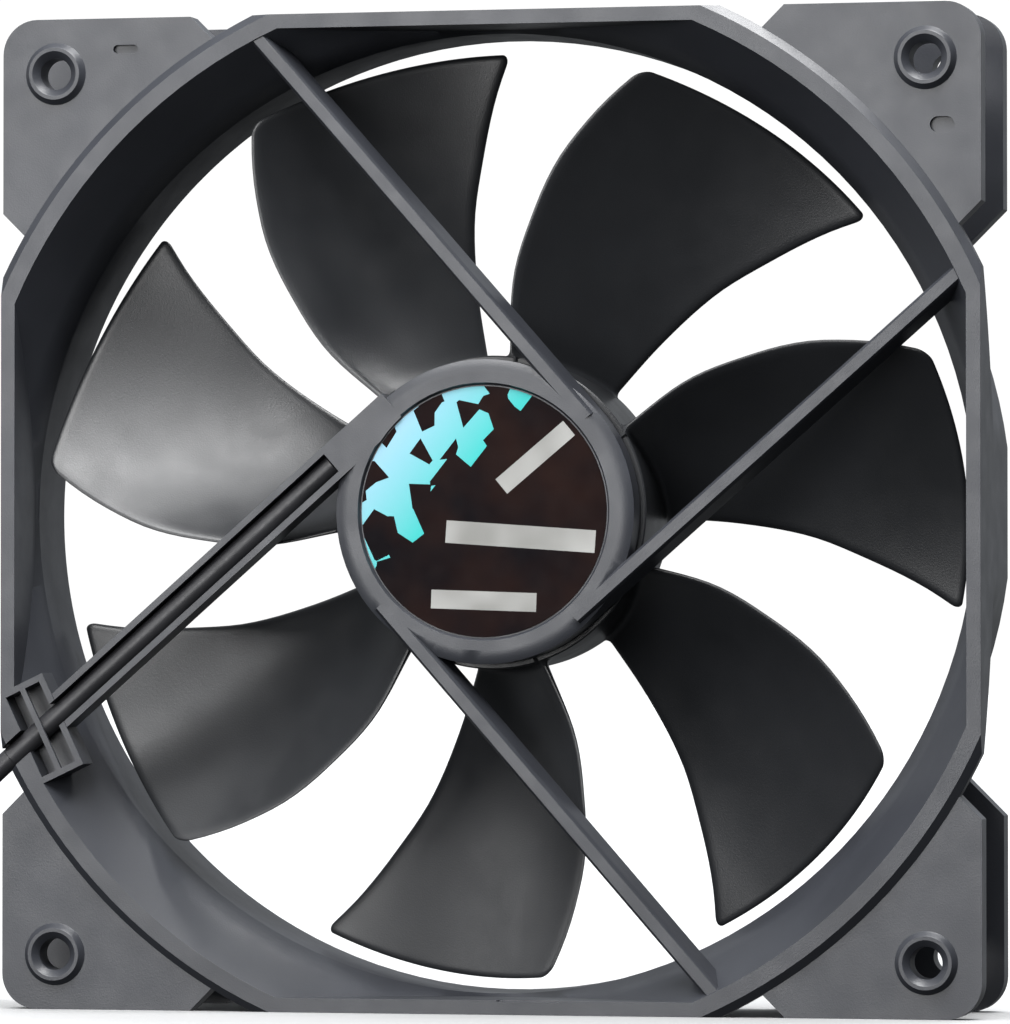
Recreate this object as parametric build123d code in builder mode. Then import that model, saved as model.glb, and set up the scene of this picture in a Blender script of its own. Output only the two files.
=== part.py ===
"""Axial case fan of the 140 mm class, seven sickle blades, sleeve bearing motor.

Row frame in millimetres: the rotor turns about Y, the exhaust side (struts and
motor cup) faces -Y, the intake side faces +Y, and the fan stands on its -Z edge.
The origin is on the rotor's axis, halfway through the frame's depth.
"""
from build123d import *
from math import atan, atan2, cos, degrees, pi, radians, sin, tan
import os

# ---------------------------------------------------------------- frame
WIDTH = 140.0                 # outside width and height
DEPTH = 25.0                  # outside depth
HALF = WIDTH / 2
FRONT = -DEPTH / 2            # exhaust face
BACK = DEPTH / 2              # intake face
CORNER_R = 5.0                # rounded corners of the square
BORE_R = 67.6                 # cylindrical part of the duct
MOUTH_R = 74.2                # exhaust flare at the exhaust face
LIP_R = 68.8                  # intake lip at the intake face
LIP_DEPTH = 1.6
LIP_ROUND = 1.8
FLARE_END = -1.5              # where the flare meets the cylinder
FLAT = 68.0                   # the flare is cut straight at this distance mid-side
RIM_R = 77.6                  # outside of the raised rim round the flare
RIM_THICK = 3.0
DUCT_R = 70.6                 # outside of the duct wall between the flanges
RIM_STEP = 1.0                # rim stands proud of the corner flanges
RIM_SLOPE = 1.1               # width of the rim's sloped outer edge
FLANGE_START = 42.5           # flanges begin this far from the middle of a side
FLANGE_THICK = 3.8
CHAMFER_RUN = 10.0            # how deep each flange's 45 degree end is drawn
PAST = 1.0                    # how far a cutting tool runs past a face

HOLE_SPACING = 124.5
HOLE_R = 2.25
BOSS_BASE_R = 4.4
BOSS_TOP_R = 3.7
BOSS_MOUTH_R = 3.2

MARK_DEPTH = 0.8              # moulding recesses
SLOT_PLACE = (-52.0, 65.6)
SLOT_SIZE = (3.6, 1.2)
DIMPLE_PLACE = (64.6, 53.0)
DIMPLE_SIZE = (3.4, 2.2)
GATE_PLACE = (6.4, -HALF + 2.4)
GATE_SIZE = (8.8, 1.2)

# ---------------------------------------------------------------- struts and motor cup
STRUT_COUNT = 4
STRUT_OFFSET = 19.6           # distance of each strut's line from the axis
STRUT_NORMAL = 41.3           # angle of the first strut's nearest point, degrees
STRUT_FRONT = FRONT + 0.2
STRUT_BACK = FRONT + 5.0
STRUT_LENGTH = 72.0
STRUT_RIDGE = 1.5             # width at the exhaust side
STRUT_FOOT = 3.4              # width at the rotor side
STRUT_ROUND = (0.4, 0.6)      # bevel beside the ridge: across, deep
CHANNEL_STRUT = 1             # which strut carries the lead
CHANNEL_WIDTH = 5.0

CUP_R = 21.3
CUP_WALL = 1.5
CUP_FRONT = FRONT + 0.2
CUP_BACK = -7.3
CUP_BEVEL = (1.9, 0.9)        # bevel round the cup's front: across, deep
LABEL_SEAT = CUP_FRONT + 0.6
LABEL_R = 17.5
LABEL_THICK = 0.15
LABEL_GAP = 0.2
LABEL_SLOPE = 0.3             # the recess widens by this towards the exhaust side
CUP_FLOOR = -10.3             # inner face of the cup's front wall
SEAT_R = 5.6                  # collar that holds the bearing tube

# ---------------------------------------------------------------- lead
LEAD_D = 3.0
LEAD_Y = FRONT + 2.2          # depth of the lead's centre line in its channel
LEAD_START = 12.0             # distance along the strut where the sleeve begins
CHANNEL_GAP = 0.1
BOX_LENGTH = 14.2             # exit box, along the ring
BOX_WALL = 0.9
BOX_INNER_R = 67.4
BOX_OUTER_R = 74.6
BAR_R = 71.0
BAR_WIDTH = 0.8
BAR_THICK = 0.6
BOX_FLOOR = FRONT + 4.2       # bottom of the exit box's pocket
NOTCH_START = 3.5             # the inner wires' opening in the cup, along the strut
NOTCH_WIDTH = 6.0
NOTCH_SHIFT = -1.4

FLOOR = -HALF                 # the surface that the fan stands on
COIL_CENTRE = (-100.0, -2.0)
COIL_LIFT = 0.5               # the tie's strap under the turns
COIL_OUTER = 16.5             # centre-line radii of the two rings of turns
COIL_INNER = COIL_OUTER - LEAD_D
COIL_LOW = FLOOR + COIL_LIFT + LEAD_D / 2
COIL_HIGH = COIL_LOW + LEAD_D
FREE_ROUTE = [                # from the frame's side down to the coil, after the exit itself
    (-77.0, -10.3, -41.54), (-79.8, -12.1, -47.7), (-81.8, -14.3, -55.1), (-84.3, -17.0, -61.65),
    (-88.5, -19.1, -66.0), (-94.2, -19.4, COIL_LOW), (-101.0, -18.5, COIL_LOW),
]
TAIL_Z = COIL_HIGH + LEAD_D   # the tail lies on top of the coil
TAIL_ROUTE = [                # from the coil's upper turn round to the connector
    (-86.65, -11.7, COIL_HIGH), (-92.35, -16.4, -64.4), (-99.46, -17.6, -62.8),
    (-105.7, -16.2, TAIL_Z), (-110.8, -13.0, TAIL_Z), (-114.2, -8.1, TAIL_Z), (-114.4, -1.5, TAIL_Z),
    (-111.1, 3.8, TAIL_Z), (-105.7, 6.8, TAIL_Z), (-99.5, 6.8, TAIL_Z),
]
COIL_TURNS = 3.85
COIL_EDGE = 1.2
TIE_ANGLE = -25.0             # place of the tie round the coil, degrees
TIE_WIDTH = 3.0
TIE_WALL = 0.5                # beside the turns; COIL_LIFT above and below
TIE_SLACK = 0.4
SHRINK_LENGTH = 3.4
SHRINK_R = 1.9
WIRE_D = 0.95
PIN_PITCH = 2.54
PLUG_SIZE = (7.9, 13.5, 5.0)
PLUG_BACK = -93.5             # where the wires enter the connector, which lies on the coil
PLUG_Z = COIL_HIGH + LEAD_D / 2 + PLUG_SIZE[2] / 2
PLUG_EDGE = 0.4
KEY_SIZE = (5.2, 1.6, 0.8)    # rib on the connector: across, along, high
KEY_SETBACK = 2.5
SOCKET = (1.8, 11.0)          # width and depth of each contact's chamber
ENTRY_DEPTH = 2.0
TERMINAL = (1.6, 8.8)
TERMINAL_BORE = (0.9, 6.4)
TERMINAL_SETBACK = 0.6
TAIL_SPREAD = 1.0             # wires side by side inside the sleeve
TAIL_STRAIGHT = 1.2
TAIL_BEND = 1.5

# ---------------------------------------------------------------- rotor
BLADES = 7
HUB_R = 22.0
HUB_WALL = 1.6
HUB_RIM = -6.4
HUB_FACE = 11.5
HUB_TOP = 1.3
HUB_ROUND = 1.6
TIP_R = 65.5
BLADE_AXIS = 115.0            # direction of the first blade's span, degrees
YOKE_R = HUB_R - HUB_WALL
YOKE_WALL = 0.9
YOKE_RIM = -5.9
MAGNET_THICK = 2.0
MAGNET_SPAN = (-5.2, 3.4)
BOSS_R = 4.2
BOSS_END = 5.3
INSERT_R = 2.8
SHAFT_R = 1.5
SHAFT_TIP = -9.65
SHAFT_TOP = 10.6
GROOVE_R = 1.15
GROOVE = (-9.05, -8.6)
TIP_FLAT = (1.1, 0.3)         # end of the shaft's rounded tip: radius, height
TIP_ROUND = 2.2
WASHER_R = 3.0
WASHER_GAPS = (0.15, 0.1)     # below and above the wear washer
CLIP_R = 2.6
CLIP_SLOT = 0.4
CLIP_GAP = 0.05
# Blade stations: height along the span, tangential place of the leading and trailing edge,
# depth of the leading and trailing edge, thickness
BLADE_STATIONS = [
    (20.7, -4.2, 7.3, 9.6, -5.4, 2.4),
    (31.0, -7.3, 11.8, 9.8, -5.6, 2.1),
    (40.7, -11.4, 13.3, 9.6, -5.6, 1.9),
    (48.2, -16.4, 13.4, 9.3, -5.5, 1.8),
    (55.0, -21.8, 12.1, 8.8, -5.3, 1.6),
    (60.5, -27.4, 10.3, 8.3, -5.1, 1.5),
    (66.5, -34.0, 7.6, 7.6, -4.8, 1.4),
]
CAMBER = 0.085                # rise of the blade's mean line over its chord
NOSE_SHARE = 0.36             # half thickness at the leading edge over the full thickness
TAIL_SHARE = 0.26             # and at the trailing edge

# ---------------------------------------------------------------- stator
TUBE_R = 4.3
TUBE_BORE = 3.3
TUBE_TOP = 4.6
SLEEVE_BORE = SHAFT_R + 0.03
SLEEVE_SPAN = (-8.1, 3.6)
SLEEVE_CHAMFER = 0.3
OIL_RING_BORE = 1.75
OIL_RING_SPAN = (3.8, 4.3)
PAD_GAP = 0.05                # under the shaft's rounded tip
CORE_SPAN = (-4.2, 1.8)
CORE_R = 17.0
CORE_RING_R = 6.5
ARM_WIDTH = 5.0
HEAD_ANGLE = 76.0
HEAD_DEPTH = 2.8
INSULATOR = 0.6
WINDING = 1.6
WINDING_SPAN = (7.0, 11.9)
WALL_R = 12.9                 # insulator wall outside the windings
WALL_HEIGHT = 1.8             # insulator walls beside the windings
PIN_R = 0.35
PIN_CIRCLE = 9.0
PIN_ANGLES = (45.0, 135.0, 315.0)
BOARD_SPAN = (-9.0, -8.0)
BOARD_R = 16.2
BOARD_HOLE = 4.5
PIN_REACH = 0.7               # pins come this far through the board
POST_WIDTH = 2.2              # insulator posts that hold the pins
WALL_GAP = 12.0               # the insulator walls are open between the poles
CHIP_PLACE = (0.0, 12.6)
CHIP_SIZE = (5.0, 3.9, 0.95)
CHIP_EDGE = 0.15
CAPACITOR_PLACES = ((12.2, 3.0), (12.2, -0.5))
CAPACITOR_SIZE = (2.0, 1.3, 0.9)
RESISTOR_PLACES = ((3.0, -12.6), (0.0, -12.6), (-3.0, -12.6))
RESISTOR_SIZE = (1.25, 2.0, 0.5)
PAD_REACH = 7.5               # inner wires end this far in from the strut's line
LANE_PITCH = 1.05             # inner wires side by side
LANE_TURN = 7.8               # along the strut, where the first wire turns to the board
LANE_STEP = 1.4
INNER_WIRE_R = 0.45
INNER_BEND = 1.2
JOINT_SIZE = (1.2, 1.1, 1.1)


def plane_at(y):
    """Plane facing the exhaust side at depth y, with X right and Z up."""
    return Plane.XZ.offset(-y)


def save(piece, name):
    """Label one sub-part and write its STEP file."""
    piece.part.label = name
    export_step(piece.part, f"parts/{name}.step")


def ring(inner, outer, y0, y1):
    """Plain ring about the rotor's axis between two depths."""
    with BuildPart() as body:
        with BuildSketch(plane_at(y1)) as profile:
            Circle(outer)
            if inner > 0:
                Circle(inner, mode=Mode.SUBTRACT)
        extrude(profile.sketch, amount=y1 - y0)
    return body


def strut_plane(index, along):
    """Plane across a strut: local x runs outwards from the axis, local y to the intake side."""
    normal = radians(STRUT_NORMAL + 90 * index)
    out = Vector(cos(normal), 0, sin(normal))
    run = Vector(-sin(normal), 0, cos(normal))
    return Plane(origin=out * STRUT_OFFSET + run * along, x_dir=out, z_dir=run)


def radial_plane(angle, y):
    """Plane at depth y turned about the axis: local x points outwards at the angle."""
    turn = radians(angle)
    return Plane(origin=(0, y, 0), x_dir=(cos(turn), 0, sin(turn)), z_dir=(0, -1, 0))


# ================================================================ frame
def bore_tool():
    """The airway: flare cut straight mid-side, cylinder, and the intake lip."""
    slope = (MOUTH_R - BORE_R) / (FLARE_END - FRONT)
    with BuildPart() as tool:
        with BuildSketch(Plane.XY) as profile:
            Polygon((0, FRONT - PAST), (MOUTH_R + slope * PAST, FRONT - PAST), (BORE_R, FLARE_END),
                    (0, FLARE_END), align=None)
        revolve(profile.sketch, axis=Axis.Y)
        Box(2 * FLAT, 4 * DEPTH, 2 * FLAT, mode=Mode.INTERSECT)
        with BuildSketch(plane_at(BACK + PAST)) as profile:
            Circle(BORE_R)
        extrude(profile.sketch, amount=DEPTH + 2 * PAST)
        with BuildSketch(Plane.XY) as profile:
            with BuildLine():
                Line((0, BACK - LIP_DEPTH), (BORE_R, BACK - LIP_DEPTH))
                RadiusArc((BORE_R, BACK - LIP_DEPTH), (LIP_R, BACK), LIP_ROUND)
                Polyline((LIP_R, BACK), (LIP_R, BACK + PAST), (0, BACK + PAST),
                         (0, BACK - LIP_DEPTH))
            make_face()
        revolve(profile.sketch, axis=Axis.Y)
    return tool.part


def square_outline():
    RectangleRounded(WIDTH, WIDTH, CORNER_R)


def flange_outline():
    """Four corner plates, each ending in 45 degree chamfers towards mid-side."""
    wide = FLANGE_START + PAST
    narrow = FLANGE_START - CHAMFER_RUN
    square_outline()
    with PolarLocations(0, 4):
        Polygon((-wide, HALF + PAST), (wide, HALF + PAST), (narrow, HALF - CHAMFER_RUN),
                (-narrow, HALF - CHAMFER_RUN), align=None, mode=Mode.SUBTRACT)


def add_duct():
    """Duct wall and raised rim, kept inside the square."""
    with BuildSketch(Plane.XY) as profile:
        Polygon((0, FRONT), (RIM_R - RIM_SLOPE, FRONT), (RIM_R, FRONT + RIM_STEP),
                (RIM_R, FRONT + RIM_THICK), (DUCT_R, FLARE_END + PAST), (DUCT_R, BACK), (0, BACK),
                align=None)
    revolve(profile.sketch, axis=Axis.Y)
    with BuildSketch(plane_at(BACK)) as profile:
        square_outline()
    extrude(profile.sketch, amount=DEPTH, mode=Mode.INTERSECT)


def add_flanges():
    for far_y in (FRONT + RIM_STEP + FLANGE_THICK, BACK):
        with BuildSketch(plane_at(far_y)) as profile:
            flange_outline()
        extrude(profile.sketch, amount=FLANGE_THICK)


def add_bosses():
    """Raised conical collars round the four exhaust side holes, and the through holes."""
    flange_face = FRONT + RIM_STEP
    slope = degrees(atan((BOSS_BASE_R - BOSS_TOP_R) / RIM_STEP))
    mouth_depth = BOSS_MOUTH_R - HOLE_R
    with BuildSketch(plane_at(flange_face)) as profile:
        with GridLocations(HOLE_SPACING, HOLE_SPACING, 2, 2):
            Circle(BOSS_BASE_R)
    extrude(profile.sketch, amount=RIM_STEP, taper=slope)
    with BuildSketch(plane_at(FRONT)) as profile:
        with GridLocations(HOLE_SPACING, HOLE_SPACING, 2, 2):
            Circle(BOSS_MOUTH_R)
    extrude(profile.sketch, amount=-mouth_depth, taper=45 - 0.01, mode=Mode.SUBTRACT)
    with BuildSketch(plane_at(BACK + PAST)) as profile:
        with GridLocations(HOLE_SPACING, HOLE_SPACING, 2, 2):
            Circle(HOLE_R)
    extrude(profile.sketch, amount=DEPTH + 2 * PAST, mode=Mode.SUBTRACT)


def add_marks():
    """Small moulding recesses in the exhaust side corners and the bottom rim."""
    with BuildSketch(plane_at(FRONT + RIM_STEP)) as profile:
        with Locations(SLOT_PLACE):
            SlotOverall(*SLOT_SIZE)
        with Locations(DIMPLE_PLACE):
            SlotOverall(*DIMPLE_SIZE)
    extrude(profile.sketch, amount=-MARK_DEPTH, mode=Mode.SUBTRACT)
    with BuildSketch(plane_at(FRONT)) as profile:
        with Locations(GATE_PLACE):
            Rectangle(*GATE_SIZE)
    extrude(profile.sketch, amount=-2 * MARK_DEPTH, mode=Mode.SUBTRACT)


def add_struts():
    depth = STRUT_BACK - STRUT_FRONT
    ridge = STRUT_RIDGE / 2
    shoulder = ridge + STRUT_ROUND[0]
    shoulder_y = STRUT_FRONT + STRUT_ROUND[1]
    for index in range(STRUT_COUNT):
        with BuildSketch(strut_plane(index, 0)) as profile:
            if index == CHANNEL_STRUT:
                with Locations((0, (STRUT_FRONT + STRUT_BACK) / 2)):
                    Rectangle(CHANNEL_WIDTH, depth)
            else:
                Polygon((-STRUT_FOOT / 2, STRUT_BACK), (-shoulder, shoulder_y), (-ridge, STRUT_FRONT),
                        (ridge, STRUT_FRONT), (shoulder, shoulder_y), (STRUT_FOOT / 2, STRUT_BACK),
                        align=None)
        extrude(profile.sketch, amount=STRUT_LENGTH)


def add_cup():
    """Motor cup: bevelled rim, label recess, side wall and the bearing tube's seat."""
    inner = CUP_R - CUP_WALL
    recess_r = LABEL_R + LABEL_GAP
    with BuildSketch(Plane.XY) as profile:
        Polygon((0, LABEL_SEAT), (recess_r, LABEL_SEAT), (recess_r + LABEL_SLOPE, CUP_FRONT),
                (CUP_R - CUP_BEVEL[0], CUP_FRONT), (CUP_R, CUP_FRONT + CUP_BEVEL[1]),
                (CUP_R, CUP_BACK), (inner, CUP_BACK), (inner, CUP_FLOOR), (0, CUP_FLOOR), align=None)
    revolve(profile.sketch, axis=Axis.Y)
    with BuildSketch(plane_at(BOARD_SPAN[0])) as profile:
        Circle(SEAT_R)
        Circle(TUBE_R, mode=Mode.SUBTRACT)
    extrude(profile.sketch, amount=BOARD_SPAN[0] - CUP_FLOOR)


def hollow_cup():
    """Clear the struts' inner ends out of the cup and out of the label's recess."""
    with BuildSketch(plane_at(LABEL_SEAT)) as recess:
        Circle(LABEL_R + LABEL_GAP)
    extrude(recess.sketch, amount=LABEL_SEAT - FRONT, mode=Mode.SUBTRACT)
    with BuildSketch(plane_at(CUP_BACK + PAST)) as profile:
        Circle(CUP_R - CUP_WALL)
        Circle(SEAT_R, mode=Mode.SUBTRACT)
    extrude(profile.sketch, amount=CUP_BACK + PAST - CUP_FLOOR, mode=Mode.SUBTRACT)


def add_exit_box(angle):
    """Walled pocket on the ring where the lead leaves the frame, kept inside the square."""
    deep = STRUT_BACK - FRONT
    with BuildSketch(radial_plane(angle, STRUT_BACK)) as profile:
        with Locations(((BOX_INNER_R + BOX_OUTER_R) / 2, 0)):
            Rectangle(BOX_OUTER_R - BOX_INNER_R, BOX_LENGTH)
    extrude(profile.sketch, amount=deep)
    with BuildSketch(plane_at(BACK)) as profile:
        square_outline()
    extrude(profile.sketch, amount=DEPTH, mode=Mode.INTERSECT)
    with BuildSketch(radial_plane(angle, BOX_FLOOR)) as profile:
        with Locations(((BOX_INNER_R + BOX_OUTER_R) / 2, 0)):
            Rectangle(BOX_OUTER_R - BOX_INNER_R - 2 * BOX_WALL, BOX_LENGTH - 2 * BOX_WALL)
    extrude(profile.sketch, amount=BOX_FLOOR - FRONT + PAST, mode=Mode.SUBTRACT)


def cut_channel():
    """Open slot along the strut for the lead, through the box and the frame's side."""
    floor_y = LEAD_Y + LEAD_D / 2 + CHANNEL_GAP
    slot = LEAD_D + 2 * CHANNEL_GAP
    height = floor_y - FRONT + PAST
    with BuildSketch(strut_plane(CHANNEL_STRUT, LEAD_START - 2 * CHANNEL_GAP)) as profile:
        with Locations((0, floor_y - height / 2)):
            Rectangle(slot, height)
    extrude(profile.sketch, amount=STRUT_LENGTH, mode=Mode.SUBTRACT)


def add_lead_bar(angle):
    """Bar across the exit box that keeps the lead down."""
    with BuildSketch(radial_plane(angle, FRONT + BAR_THICK)) as profile:
        with Locations((BAR_R, 0)):
            Rectangle(BAR_WIDTH, BOX_LENGTH - BOX_WALL)
    extrude(profile.sketch, amount=BAR_THICK)


def wire_notch():
    """Opening in the cup's side wall for the three inner wires."""
    height = BOARD_SPAN[0] - CUP_FLOOR
    with BuildSketch(strut_plane(CHANNEL_STRUT, NOTCH_START)) as profile:
        with Locations((NOTCH_SHIFT, CUP_FLOOR + height / 2)):
            Rectangle(NOTCH_WIDTH, height)
    extrude(profile.sketch, amount=LEAD_START - NOTCH_START, mode=Mode.SUBTRACT)


def lead_angle():
    """Direction, from the axis, in which the lead's strut meets the ring."""
    end = strut_plane(CHANNEL_STRUT, STRUT_LENGTH - 3).origin
    return degrees(atan2(end.Z, end.X))


def build_frame():
    angle = lead_angle()
    airway = bore_tool()
    with BuildPart() as frame:
        add_duct()
        add_flanges()
        add(airway, mode=Mode.SUBTRACT)
        add_bosses()
        add_marks()
        add_struts()
        add_cup()
        hollow_cup()
        add_exit_box(angle)
        cut_channel()
        add_lead_bar(angle)
        wire_notch()
    save(frame, "frame")
    return frame


# ================================================================ bearing
def build_bearing():
    save(ring(TUBE_BORE, TUBE_R, CUP_FLOOR, TUBE_TOP), "bearing_tube")
    save(ring(0, TUBE_BORE, CUP_FLOOR, SHAFT_TIP - PAD_GAP), "thrust_pad")
    save(ring(OIL_RING_BORE, TUBE_BORE, *OIL_RING_SPAN), "oil_ring")
    bottom, top = SLEEVE_SPAN
    mouth = SLEEVE_BORE + SLEEVE_CHAMFER
    with BuildPart() as sleeve:
        with BuildSketch(Plane.XY) as profile:
            Polygon((SLEEVE_BORE, bottom + SLEEVE_CHAMFER), (mouth, bottom), (TUBE_BORE, bottom),
                    (TUBE_BORE, top), (mouth, top), (SLEEVE_BORE, top - SLEEVE_CHAMFER), align=None)
        revolve(profile.sketch, axis=Axis.Y)
    save(sleeve, "sleeve_bearing")


# ================================================================ wound stator
def pole_outline(grow):
    """Four T-shaped poles on a ring; grow widens the arms."""
    reach = 2 * CORE_R
    slot = radians((90 - HEAD_ANGLE) / 2)
    Circle(CORE_R)
    Circle(CORE_R - HEAD_DEPTH, mode=Mode.SUBTRACT)
    with PolarLocations(0, 4, start_angle=45):
        Polygon((0, 0), (reach * cos(slot), -reach * sin(slot)), (reach * cos(slot), reach * sin(slot)),
                align=None, mode=Mode.SUBTRACT)
    Circle(CORE_RING_R)
    for angle in (0, 90):
        Rectangle(2 * CORE_R - HEAD_DEPTH, ARM_WIDTH + 2 * grow, rotation=angle)
    Circle(TUBE_R, mode=Mode.SUBTRACT)


def build_core():
    with BuildPart() as core:
        with BuildSketch(plane_at(CORE_SPAN[1])) as profile:
            pole_outline(0)
        extrude(profile.sketch, amount=CORE_SPAN[1] - CORE_SPAN[0])
    save(core, "stator_core")


def pin_spots(share=1.0):
    """Places of the pins, or of points that share of the way out to them."""
    reach = PIN_CIRCLE * share
    return [(reach * cos(radians(angle)), reach * sin(radians(angle))) for angle in PIN_ANGLES]


def build_insulator(name, face, side):
    """Moulded insulator on one face of the core; side is +1 for the intake side."""
    with BuildPart() as insulator:
        with BuildSketch(plane_at(face)) as outline:
            pole_outline(INSULATOR)
        extrude(outline.sketch, amount=-side * INSULATOR)
        with BuildSketch(plane_at(face)) as walls:
            Circle(CORE_R - HEAD_DEPTH)
            Circle(WALL_R, mode=Mode.SUBTRACT)
            for angle in (45, 135):
                Rectangle(4 * CORE_R, WALL_GAP, rotation=angle, mode=Mode.SUBTRACT)
            Circle(CORE_RING_R)
            if side < 0:
                for angle, (x, z) in zip(PIN_ANGLES, pin_spots(0.75)):
                    with Locations((x, z)):
                        Rectangle(PIN_CIRCLE / 2 + POST_WIDTH, POST_WIDTH, rotation=angle)
            Circle(TUBE_R, mode=Mode.SUBTRACT)
        extrude(walls.sketch, amount=-side * (INSULATOR + WALL_HEIGHT))
        if side < 0:
            with BuildSketch(plane_at(face)) as holes:
                with Locations(*pin_spots()):
                    Circle(PIN_R)
            extrude(holes.sketch, amount=2 * (INSULATOR + WALL_HEIGHT), mode=Mode.SUBTRACT)
    save(insulator, name)


def build_windings():
    """Copper wound round each pole's arm."""
    middle = (CORE_SPAN[0] + CORE_SPAN[1]) / 2
    inner_w = ARM_WIDTH + 2 * INSULATOR
    inner_h = CORE_SPAN[1] - CORE_SPAN[0] + 2 * INSULATOR
    for index in range(4):
        turn = radians(90 * index)
        along = Vector(cos(turn), 0, sin(turn))
        start = Vector(0, middle, 0) + along * WINDING_SPAN[0]
        across = Plane(origin=start, x_dir=(-sin(turn), 0, cos(turn)), z_dir=along)
        with BuildPart() as winding:
            with BuildSketch(across) as profile:
                RectangleRounded(inner_w + 2 * WINDING, inner_h + 2 * WINDING, WINDING)
                Rectangle(inner_w, inner_h, mode=Mode.SUBTRACT)
            extrude(profile.sketch, amount=WINDING_SPAN[1] - WINDING_SPAN[0])
        save(winding, f"coil_{index + 1}")


def board_blocks(places, size):
    """Small rectangular parts standing on the board, from their places and (x, z, height)."""
    with BuildSketch(plane_at(BOARD_SPAN[1] + size[2])) as profile:
        with Locations(*places):
            Rectangle(size[0], size[1])
    extrude(profile.sketch, amount=size[2])


def build_board():
    """Circuit board, its parts, and the pins that join it to the windings."""
    under = BOARD_SPAN[0]
    over = BOARD_SPAN[1]
    pin_top = CORE_SPAN[0] - INSULATOR
    with BuildPart() as board:
        with BuildSketch(plane_at(over)) as profile:
            Circle(BOARD_R)
            Circle(BOARD_HOLE, mode=Mode.SUBTRACT)
            with Locations(*pin_spots()):
                Circle(PIN_R, mode=Mode.SUBTRACT)
        extrude(profile.sketch, amount=over - under)
    save(board, "circuit_board")
    with BuildPart() as pins:
        with BuildSketch(plane_at(pin_top)) as profile:
            with Locations(*pin_spots()):
                Circle(PIN_R)
        extrude(profile.sketch, amount=pin_top - under + PIN_REACH)
    save(pins, "coil_pins")
    with BuildPart() as chip:
        board_blocks([CHIP_PLACE], CHIP_SIZE)
        chamfer(chip.faces().sort_by(Axis.Y)[-1].edges(), CHIP_EDGE)
    save(chip, "driver_chip")
    with BuildPart() as capacitors:
        board_blocks(CAPACITOR_PLACES, CAPACITOR_SIZE)
    save(capacitors, "board_capacitors")
    with BuildPart() as resistors:
        board_blocks(RESISTOR_PLACES, RESISTOR_SIZE)
    save(resistors, "board_resistors")


def wire_lane(index):
    """Place of inner wire 0, 1 or 2 across the lead, and where it turns towards the board."""
    across = (index - 1) * LANE_PITCH
    turn_at = LANE_TURN - LANE_STEP * index
    return across, turn_at


def build_inner_wires():
    """Three wires from the lead's sleeve to their solder joints under the board."""
    depth = CUP_FLOOR + 0.6
    lane_plane = strut_plane(CHANNEL_STRUT, 0)
    with BuildPart() as wires:
        for index in range(3):
            across, turn_at = wire_lane(index)
            corners = [(across, LEAD_START), (across, turn_at), (-PAD_REACH, turn_at)]
            points = [lane_plane.from_local_coords((x, depth, s)) for x, s in corners]
            with BuildLine(Plane.XY, mode=Mode.PRIVATE) as path:
                FilletPolyline(*points, radius=INNER_BEND)
            start = Plane(origin=points[0], z_dir=points[1] - points[0])
            with BuildSketch(start, mode=Mode.PRIVATE) as section:
                Circle(INNER_WIRE_R)
            sweep(section.sketch, path=path.wire())
    save(wires, "inner_wires")
    long, wide, high = JOINT_SIZE
    with BuildPart() as joints:
        for index in range(3):
            turn_at = wire_lane(index)[1]
            spot = lane_plane.from_local_coords((-PAD_REACH - long / 2, depth, turn_at))
            out = lane_plane.x_dir
            base = Plane(origin=(spot.X, BOARD_SPAN[0], spot.Z), x_dir=out, z_dir=(0, -1, 0))
            with BuildSketch(base) as pad:
                Rectangle(long, wide)
            extrude(pad.sketch, amount=high)
    save(joints, "solder_joints")


# ================================================================ lead
def exit_point():
    """Where the lead leaves the frame, its end face just inside the side, and how far along."""
    start = strut_plane(CHANNEL_STRUT, 0)
    reach = HALF - LEAD_D / 2 * abs(start.x_dir.X)
    along = (reach + start.origin.X) / -start.z_dir.X
    middle = start.origin + start.z_dir * along
    return Vector(middle.X, LEAD_Y, middle.Z), along


def bend_radii(points):
    """Largest arc that each corner of a route has room for."""
    radii = []
    for before, corner, after in zip(points, points[1:], points[2:]):
        arriving = corner - before
        leaving = after - corner
        half_turn = radians(arriving.get_angle(leaving)) / 2
        radii.append(0.45 * min(arriving.length, leaving.length) / tan(half_turn))
    return radii


def build_tube(name, points):
    """Round lead along straight runs joined by tangent arcs."""
    radii = bend_radii(points)
    with BuildPart() as tube:
        with BuildLine() as path:
            FilletPolyline(*points, radius=radii)
        with BuildSketch(Plane(origin=points[0], z_dir=points[1] - points[0])) as section:
            Circle(LEAD_D / 2)
        sweep(section.sketch, path=path.wire())
    length = path.wire().length
    print(f"{name}: length {length:.1f}, radii in diameters",
          [round(radius / LEAD_D, 1) for radius in radii],
          f"volume over section times length {tube.part.volume / (pi * LEAD_D ** 2 / 4 * length):.3f}")
    save(tube, name)
    return length


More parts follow.
